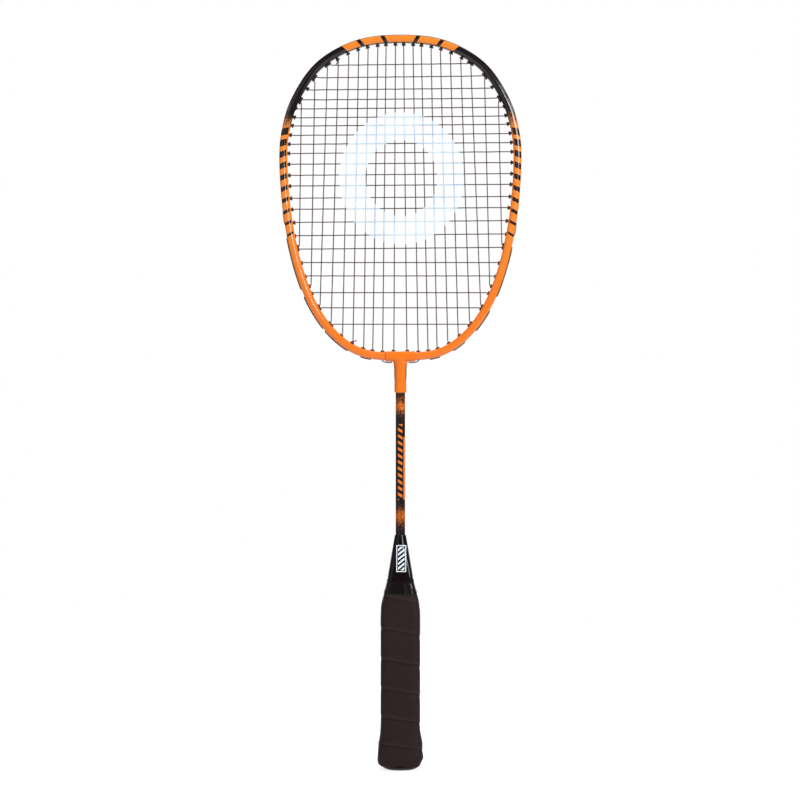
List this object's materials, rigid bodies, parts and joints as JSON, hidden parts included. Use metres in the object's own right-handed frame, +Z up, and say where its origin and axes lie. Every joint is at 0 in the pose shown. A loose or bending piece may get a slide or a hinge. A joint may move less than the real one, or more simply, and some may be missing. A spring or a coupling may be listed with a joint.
{
  "type": "crossminton racket",
  "caption": "Strung crossminton racket: open orange and black head on a T-joint, slim round shaft, cone and wrapped dark handle.",
  "frame": {"origin": "Centre of the flat end of the butt cap, on the racket's long axis.", "axes": "+Z runs up the shaft from the butt to the top of the head; +X is to the right in the plane of the strings; -Y comes out of the front face of the string bed."},
  "size_m": [0.1914, 0.0326, 0.58],
  "materials": {
    "head_paint": "gloss two-tone lacquer over carbon",
    "shaft_paint": "gloss lacquer over carbon",
    "gloss_black": "gloss",
    "tape_vinyl": "gloss vinyl",
    "grip_polymer": "matte polyurethane",
    "cap_rubber": "matte",
    "core_wood": "raw",
    "grommet_nylon": "satin",
    "string_nylon": "satin"
  },
  "bodies": {
    "root": {"head_frame": "head_paint", "t_joint": "head_paint", "head_grommet_strip": "grommet_nylon", "left_shoulder_strip": "grommet_nylon", "right_shoulder_strip": "grommet_nylon", "left_side_strip": "grommet_nylon", "right_side_strip": "grommet_nylon", "left_lower_strip": "grommet_nylon", "right_lower_strip": "grommet_nylon", "left_throat_grommet": "grommet_nylon", "right_throat_grommet": "grommet_nylon", "string": "string_nylon", "shaft": "shaft_paint", "handle_cone": "gloss_black", "finishing_tape": "tape_vinyl", "grip_wrap": "grip_polymer", "handle_core": "core_wood", "butt_cap": "cap_rubber"}
  },
  "joints": []
}
